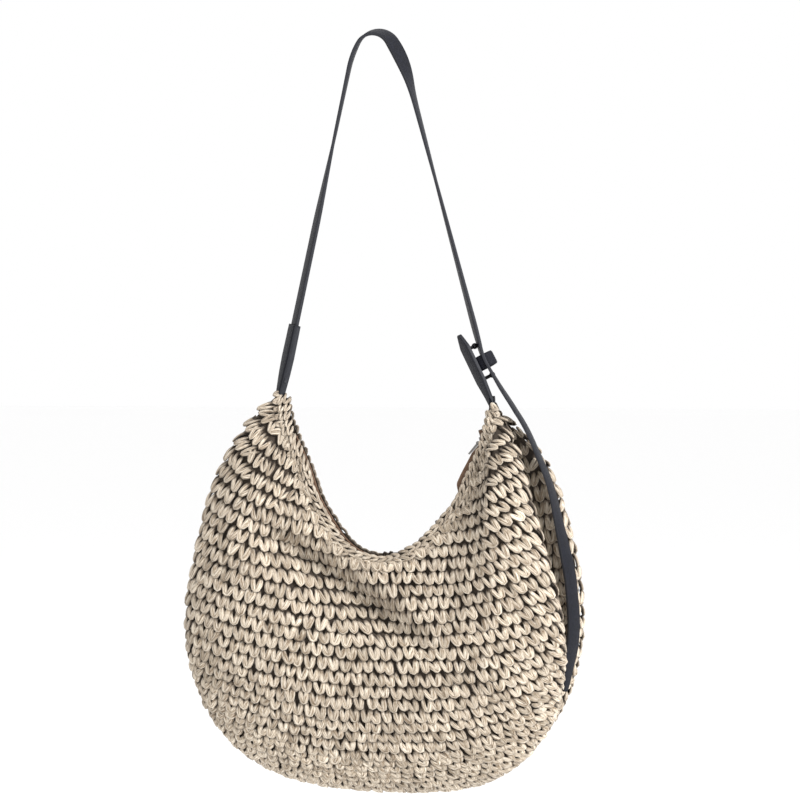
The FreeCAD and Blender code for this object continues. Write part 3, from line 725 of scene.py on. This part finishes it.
# ---- Build the crocheted halves -----------------------------------------------------
def build_half(name, side):
    skin, rows = body_rows(side)
    bands = max(1, math.ceil(sum(len(row) for row in rows) / 480))
    per_band = math.ceil(len(rows) / bands)
    first = None
    for band in range(bands):
        sites = [site for row in rows[band * per_band:(band + 1) * per_band] for site in row]
        if not sites:
            continue
        vertices, faces, values = stitch_mesh(sites)
        piece = add_mesh(f"{name}_stitches_{band + 1}", vertices, faces, attributes=values)
        dress(piece, STRAW)
        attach(piece, "bag")
        first = first or piece
    vertices, faces, values = stitch_mesh(rim_sites(skin))
    edging = add_mesh(f"{name}_edging", vertices, faces, attributes=values)
    dress(edging, STRAW_RIM)
    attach(edging, "bag")
    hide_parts(f"{name}_rim")
    # a dark sheet behind the stitches stands in for the shadow seen between them: painted shade
    inner = Skin(side, SHADE_SHEET_SINK)
    shade_sheet = add_mesh(f"{name}_backing", inner.points.reshape(-1, 3), grid_faces(GRID_ANGLES, GRID_DOWN))
    dress(shade_sheet, SHADE_SHEET)
    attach(shade_sheet, "bag")
    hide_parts(f"{name}_panel")
    return sum(len(row) for row in rows)


def build_lining(name, side):
    """Cotton lining that hangs inside one half and follows its shape."""
    skin = Skin(side, LINING_SINK)
    first_angle, last_angle = LINING_ANGLES
    rings = skin.points[(skin.angles >= first_angle) & (skin.angles <= last_angle)]
    share = np.linspace(0.0, 1.0, LINING_DOWN)
    hung = []
    for ring in rings:
        radius = np.hypot(ring[:, 0] - MOUTH_X, ring[:, 2] - MOUTH_Z)
        first = int(np.argmax(radius > LINING_START))
        hung.append(along(ring[first:], share))
    hung = np.array(hung)
    lining = add_mesh(f"{name}_lining_cloth", hung.reshape(-1, 3), grid_faces(len(hung), LINING_DOWN))
    dress(lining, LINING)
    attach(lining, "bag")
    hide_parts(f"{name}_lining")


for half_name, half_side in (("front", -1), ("back", 1)):
    print("stitches", half_name, build_half(half_name, half_side))
    build_lining(half_name, half_side)


# ---- Leather strap, sleeve, tail and tab -------------------------------------------------
class Trace:
    """Points of a path of lines and arcs in the XZ plane, with the outer side's direction."""

    def __init__(self, x, z, heading):
        self.place = np.array([x, z])
        self.heading = heading
        self.points = [(x, z, heading)]

    def run(self, length, turn=0.0, step=2.0):
        count = max(2, int(abs(length) / step))
        for _ in range(count):
            middle = math.radians(self.heading + turn / count / 2)
            self.place = self.place + length / count * np.array([math.cos(middle), math.sin(middle)])
            self.heading += turn / count
            self.points.append((*self.place, self.heading))
        return self

    def arc(self, radius, turn):
        return self.run(radius * math.radians(abs(turn)), turn)


def arch_side(side, arch, ease_radius, lean):
    middle = ARCH_RADIUS + STRAP_THICK / 2
    trace = Trace(0.0, middle, 0.0 if side > 0 else 180.0)
    trace.arc(middle, -side * arch)
    return trace.arc(ease_radius, -side * (90.0 - lean - arch))


def strap_line():
    """Centreline of the strap from inside the left sleeve to the tail's start: x, z, heading."""
    left = arch_side(-1, LEFT_ARCH, LEFT_EASE, LEFT_LEAN)
    left.run((left.place[1] - LEFT_END_Z) / math.cos(math.radians(LEFT_LEAN)))
    right = arch_side(1, RIGHT_ARCH, RIGHT_EASE, RIGHT_LEAN)
    right.run((right.place[1] - RIGHT_TURN_Z) / math.cos(math.radians(RIGHT_LEAN)))
    right.arc(RIGHT_TURN_RADIUS, LOWER_LEAN - RIGHT_LEAN)
    right.run((right.place[1] - TAIL_START[1]) / math.cos(math.radians(LOWER_LEAN)))
    for index, (x, z, heading) in enumerate(right.points):
        ease = float(smoothstep(STRAP_CUT_Z + 8.0, TAIL_START[1], z))
        right.points[index] = (x + ease * (TAIL_START[0] - right.place[0]), z,
                               heading + ease * (TAIL_LEANS[0] - LOWER_LEAN))
    left_part = [(x, z, heading - 180.0) for x, z, heading in left.points[::-1]]
    return np.array(left_part + right.points[1:])


def tail_line():
    trace = Trace(*TAIL_START, TAIL_LEANS[0] - 90.0)
    for length, lean, next_lean in zip(TAIL_LENGTHS, TAIL_LEANS, TAIL_LEANS[1:]):
        trace.run(length - TAIL_TURN_RADIUS * math.radians(lean - next_lean))
        trace.arc(TAIL_TURN_RADIUS, next_lean - lean)
    return np.array(trace.run(TAIL_TIP_LENGTH).points)


def ribbon(name, line, widths, thicks, twists, soft=0.35):
    """Leather band along a line of x, z, heading. Positive twist shows its outer face to the front."""
    count = len(line)
    heading = np.radians(line[:, 2])
    centre = np.stack([line[:, 0], np.zeros(count), line[:, 1]], 1)
    outer = np.stack([-np.sin(heading), np.zeros(count), np.cos(heading)], 1)
    front = np.tile([0.0, -1.0, 0.0], (count, 1))
    turn = np.radians(np.broadcast_to(twists, count))[:, None]
    front_now = front * np.cos(turn) - outer * np.sin(turn)
    outer_now = outer * np.cos(turn) + front * np.sin(turn)
    half_width = np.broadcast_to(widths, count)[:, None] / 2
    half_thick = np.broadcast_to(thicks, count)[:, None] / 2
    round_off = soft * half_thick
    corners = []
    for across, out in ((1, 1), (1, -1), (-1, -1), (-1, 1)):
        for step_in, step_down in ((0.0, 1.0), (0.3, 0.3), (1.0, 0.0)):
            if across * out > 0:
                step_in, step_down = step_down, step_in
            corners.append((across, out, step_in, step_down))
    ring = []
    for across, out, step_in, step_down in corners:
        ring.append(centre + across * (half_width - round_off * step_in) * front_now
                    + out * (half_thick - round_off * step_down) * outer_now)
    vertices = np.stack(ring, axis=1).reshape(-1, 3)
    around = len(corners)
    faces = grid_faces(count, around, wrap_columns=True)
    faces.append(tuple(range(around)))
    faces.append(tuple(range((count - 1) * around, count * around))[::-1])
    band = add_mesh(name, vertices, faces)
    band.data.materials.append(LEATHER)
    band.data.materials.append(LEATHER_EDGE)
    which = [1 if index % around in EDGE_COLUMNS else 0 for index in range((count - 1) * around)] + [1, 1]
    band.data.polygons.foreach_set("material_index", which)
    return band


def profile(line_length, stops):
    """Values at stops of (length along the line, value), smoothed."""
    places, values = zip(*stops)
    at = np.linspace(places[0], places[-1], 200)
    coarse = np.interp(at, places, values)
    window = np.hanning(15) / np.hanning(15).sum()
    smooth = np.convolve(np.pad(coarse, 7, mode="edge"), window, mode="valid")
    return np.interp(line_length, at, smooth)


def reach_of(line):
    return np.concatenate([[0.0], np.cumsum(np.hypot(np.diff(line[:, 0]), np.diff(line[:, 1])))])


def place_at(line, reach, side, z):
    """Length along the strap's line at a height on one side of the arch, or at its top."""
    top = int(np.argmax(line[:, 1]))
    if side == 0:
        return reach[top]
    part = slice(0, top) if side < 0 else slice(top, len(line))
    return reach[part][int(np.argmin(np.abs(line[part, 1] - z)))]


def taper(length, from_end):
    """Places along a band, and its widths there, from pairs of (distance from the end, width)."""
    return [length - distance for distance, _ in from_end], [width for _, width in from_end]


def build_strap():
    """The strap, and the short stretch below its cut as a separate piece."""
    line = strap_line()
    reach = reach_of(line)
    stops = [(place_at(line, reach, side, z), twist) for side, z, twist in STRAP_TWISTS]
    twist = profile(reach, stops + [(reach[-1], 0)])
    top = int(np.argmax(line[:, 1]))
    cut = int(np.argmax((reach > reach[top]) & (line[:, 1] < STRAP_CUT_Z)))
    strap = ribbon("strap_band", line[:cut + 1], STRAP_WIDTH, STRAP_THICK, twist[:cut + 1])
    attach(strap, "strap")
    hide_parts("shoulder_strap")
    bend = ribbon("strap_band_bend", line[cut:], STRAP_WIDTH, STRAP_THICK, twist[cut:])
    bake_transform(bend)
    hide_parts("strap_bend")


def build_tail():
    """The strap's free end, with its slanted tip."""
    line = tail_line()
    reach = reach_of(line)
    places, widths = taper(reach[-1], TAIL_TIP_TAPER)
    width = np.interp(reach, [0.0] + places, [STRAP_WIDTH] + widths)
    twist = profile(reach, [*TAIL_TWISTS, (reach[-1], TAIL_END_TWIST)])
    free_end = ribbon("strap_free_end", line, width, STRAP_THICK, twist)
    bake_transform(free_end)
    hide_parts("strap_tail")


def straight(start, end, steps=40):
    """Line of x, z, heading between two points."""
    heading = math.degrees(math.atan2(end[1] - start[1], end[0] - start[0]))
    share = np.linspace(0.0, 1.0, steps)[:, None]
    places = np.array(start) * (1.0 - share) + np.array(end) * share
    return np.concatenate([places, np.full((steps, 1), heading)], axis=1)


def build_sleeve():
    """Folded sleeve round the strap's left end."""
    leg = strap_line()[:3]
    lean = math.tan(math.radians(LEFT_LEAN))
    leg_x, leg_z = leg[0, 0], leg[0, 1]
    foot_z = HORN_AXIS_Z - 4.0
    sleeve_line = straight((leg_x - (leg_z - foot_z) * lean, foot_z),
                           (leg_x + (SLEEVE_TOP_Z - leg_z) * lean, SLEEVE_TOP_Z))
    height = sleeve_line[:, 1]
    places, widths = zip((foot_z, SLEEVE_FOOT_WIDTH), *SLEEVE_WIDTHS, (SLEEVE_TOP_Z, SLEEVE_TOP_WIDTH))
    widths = np.interp(height, places, widths)
    thicks = np.interp(height, [foot_z, -340, -320, SLEEVE_TOP_Z], [7.0, 7.6, 8.4, 7.6])
    sleeve = ribbon("left_tab_sleeve", sleeve_line, widths, thicks, SLEEVE_TWIST, soft=0.8)
    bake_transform(sleeve)
    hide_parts("left_sleeve")


def build_tab():
    """Two-ply tab that carries the studs."""
    tab_line = straight((118.5, HORN_AXIS_Z - 4.0), TAB_TIP, 60)
    reach = reach_of(tab_line)
    foot_places, foot_widths = zip(*TAB_FOOT_WIDTHS)
    tip_places, tip_widths = taper(reach[-1], TAB_TIP_TAPER)
    widths = np.interp(reach, [*foot_places, *tip_places], [*foot_widths, *tip_widths])
    tab = ribbon("right_tab", tab_line, widths, 2 * TAB_PLY, TAB_TWIST)
    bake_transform(tab)
    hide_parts("tab_face_ply", "tab_stud_ply")


def zip_cloth(name, side):
    """Zip tape from the coil to the mouth's edge; at the closed end its front shows past the edge."""
    angles = np.linspace(ZIP_ANGLES[0], ZIP_ANGLES[1], 120)
    rims = natural_spline(SECTIONS[:, 0], SECTIONS[:, 1:2], angles)[:, 0]
    shows = smoothstep(334.0, 346.0, angles) * (1.0 - smoothstep(366.0, 377.0, angles))
    shows = shows * TAPE_SHOWS if side < 0 else shows * 0.0
    rows = []
    for angle, rim, out in zip(angles, rims, shows):
        depth = 10.2 + 1.2 * math.sin(angle / 9.0)
        outline = smooth_curve(np.array([(ZIP_RADIUS, 3.0), (ZIP_RADIUS, 7.0), (ZIP_RADIUS - 1.0, 10.6),
                                         (0.5 * (ZIP_RADIUS + rim) - 1.0, depth + 1.0),
                                         (rim + 3.0 - 0.6 * out, depth), (rim + 2.0 - out, depth + 0.5)]), 5)
        turn = math.radians(angle)
        rows.append(np.stack([MOUTH_X + outline[:, 0] * math.cos(turn), side * outline[:, 1],
                              MOUTH_Z + outline[:, 0] * math.sin(turn)], 1))
    grid = np.array(rows)
    tape = add_mesh(name + "_cloth", grid.reshape(-1, 3), grid_faces(*grid.shape[:2]))
    thicken = tape.modifiers.new("thickness", "SOLIDIFY")
    thicken.thickness = 0.0007
    dress(tape, TAPE)
    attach(tape, "bag")
    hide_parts(name)


def keeper():
    """Ridged leather loop on the tab, with the strap running through it."""
    along_tab = unit(np.array([TAB_TIP[0] - TAB_FOOT[0], 0.0, TAB_TIP[1] - TAB_FOOT[1]]))
    flat = np.array([along_tab[2], 0.0, -along_tab[0]])
    twist = math.radians(KEEPER_TWIST)
    away = flat * math.cos(twist) + np.array([0.0, 1.0, 0.0]) * math.sin(twist)
    across = np.cross(along_tab, away)
    foot = np.array([TAB_FOOT[0], 0.0, TAB_FOOT[1]])
    half, reach = KEEPER_HALF, KEEPER_REACH
    corner = KEEPER_CORNER
    path = [(-half + corner, 0.0), (half - corner, 0.0), (half, corner), (half, reach - corner),
            (half - corner, reach), (-half + corner, reach), (-half, reach - corner), (-half, corner)]
    path = [(s + KEEPER_SHIFT, n + TAB_PLY) for s, n in path]
    loop = smooth_curve(np.array(path + path[:2]), 8)[4:-4]
    stations = np.linspace(0.0, 1.0, 64, endpoint=False)
    loop = along(loop, stations)
    inward = unit(np.array([KEEPER_SHIFT, reach / 2 + TAB_PLY]) - loop)
    rows = []
    ridged = np.linspace(KEEPER_START, KEEPER_END, 21)
    for run in ridged:
        swell = 1.0 + 0.45 * math.sin((run - KEEPER_START) / (KEEPER_END - KEEPER_START) * 6.0 * math.pi) ** 2
        end = smoothstep(0.0, 1.5, min(run - KEEPER_START, KEEPER_END - run))
        outside = loop - inward * (swell * 0.7 * end)
        rows.append([foot + along_tab * run + across * s + away * n for s, n in outside])
    for run in ridged[::-1]:
        inside = loop + inward * 1.2
        rows.append([foot + along_tab * run + across * s + away * n for s, n in inside])
    grid = np.array(rows)
    loop_band = add_mesh("keeper_band", grid.reshape(-1, 3),
                         grid_faces(grid.shape[0], grid.shape[1], wrap_rows=True, wrap_columns=True))
    dress(loop_band, LEATHER)
    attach(loop_band, "strap")
    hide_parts("keeper_loop")


build_strap()
build_tail()
build_sleeve()
build_tab()
keeper()
for tape_name, tape_side in (("zip_tape_front", -1), ("zip_tape_back", 1)):
    zip_cloth(tape_name, tape_side)

# ---- CAD pieces keep their meshes and get their finishes ------------------------------
NODE_FINISHES = {
    "zip_coil_front": (COIL, "zip_coil"), "zip_coil_back": (COIL, "zip_coil"),
    "zip_stop_left": (METAL, "zip_metal"), "zip_stop_right": (METAL, "zip_metal"),
    "zip_slider": (METAL, "zip_metal"), "zip_pull": (METAL, "zip_metal"),
    "lower_stud": (STUD_METAL, "stud_metal"), "upper_stud": (STUD_METAL, "stud_metal"),
    "left_anchor": (LEATHER, "strap_leather"), "right_anchor": (LEATHER, "strap_leather"),
}
for node_name, (finish, slot_name) in NODE_FINISHES.items():
    dress(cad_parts[node_name], finish)


# ---- Stage, lights and camera -----------------------------------------------------------
def pale_floor():
    """A wide paper floor below the bag; the white sky is its backdrop on every side."""
    floor_z = (FRAME_LOW.z - 0.35) / MM
    reach = FLOOR_HALF_SIZE / MM
    corners = [(x, y, floor_z) for x in (-reach, reach) for y in (-reach, reach)]
    floor = add_mesh("floor", corners, grid_faces(2, 2))
    material, _, _, shader = new_material("paper")
    shader.inputs["Base Color"].default_value = (0.985, 0.985, 0.985, 1.0)
    shader.inputs["Roughness"].default_value = 0.9
    floor.data.materials.append(material)


def area_light(name, place, target, size, power):
    data = bpy.data.lights.new(name, "AREA")
    data.size = size
    data.energy = power
    thing = bpy.data.objects.new(name, data)
    thing.location = place
    thing.rotation_euler = (Vector(target) - Vector(place)).to_track_quat("-Z", "Y").to_euler()
    bpy.context.scene.collection.objects.link(thing)


def studio():
    pale_floor()
    middle = (0.03, 0.0, -0.45)
    area_light("key", (2.0, -1.1, 0.9), middle, 0.8, 84.0)
    area_light("fill", (-2.2, -2.2, 0.0), middle, 1.8, 1.0)
    area_light("top", (0.2, 0.3, 1.7), middle, 1.5, 12.0)
    world = bpy.data.worlds.new("soft_sky")
    world.use_nodes = True
    world.node_tree.nodes["Background"].inputs["Color"].default_value = (1.0, 1.0, 1.0, 1.0)
    world.node_tree.nodes["Background"].inputs["Strength"].default_value = 1.0
    bpy.context.scene.world = world
    bpy.context.scene.view_settings.view_transform = "Standard"


def camera():
    data = bpy.data.cameras.new("camera")
    data.lens = 120.0
    data.sensor_width = 36.0
    thing = bpy.data.objects.new("camera", data)
    azimuth, elevation, distance = math.radians(9.0), math.radians(1.5), 2.67
    target = Vector((0.025, 0.0, -0.348))
    back = Vector((math.sin(azimuth) * math.cos(elevation), -math.cos(azimuth) * math.cos(elevation),
                   math.sin(elevation)))
    thing.location = target + back * distance
    thing.rotation_euler = (-back).to_track_quat("-Z", "Y").to_euler()
    bpy.context.scene.collection.objects.link(thing)
    bpy.context.scene.camera = thing


studio()
camera()
